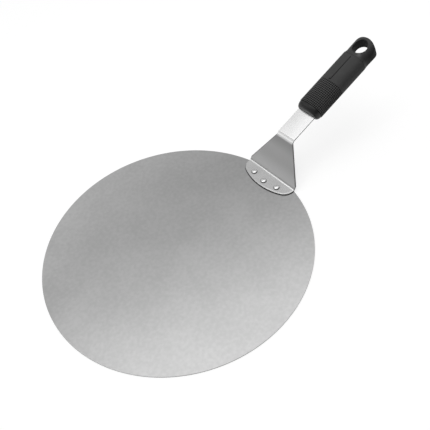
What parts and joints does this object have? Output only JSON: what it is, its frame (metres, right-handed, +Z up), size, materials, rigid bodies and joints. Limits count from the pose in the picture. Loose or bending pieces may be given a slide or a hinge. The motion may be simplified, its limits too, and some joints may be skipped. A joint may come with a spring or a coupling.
{
  "type": "round pizza peel",
  "caption": "Round steel pizza peel with a riveted bent bracket and a black grip handle with a hanging hole",
  "frame": {"origin": "middle of the blade's underside, where the peel rests", "axes": "+X from the blade to the handle, +Z up out of the blade's top face, +Y to the left when looking along the handle"},
  "size_m": [0.4729, 0.305, 0.1022],
  "materials": {
    "blade_steel": "fine satin",
    "bracket_steel": "satin",
    "rivet_steel": "polished dome",
    "core_plastic": "satin moulded",
    "grip_rubber": "fine knurl in front, matte grain behind"
  },
  "bodies": {
    "root": {"blade": "blade_steel", "bracket": "bracket_steel", "rivet_right": "rivet_steel", "rivet_middle": "rivet_steel", "rivet_left": "rivet_steel", "handle_core": "core_plastic", "grip_sleeve": "grip_rubber"}
  },
  "joints": []
}
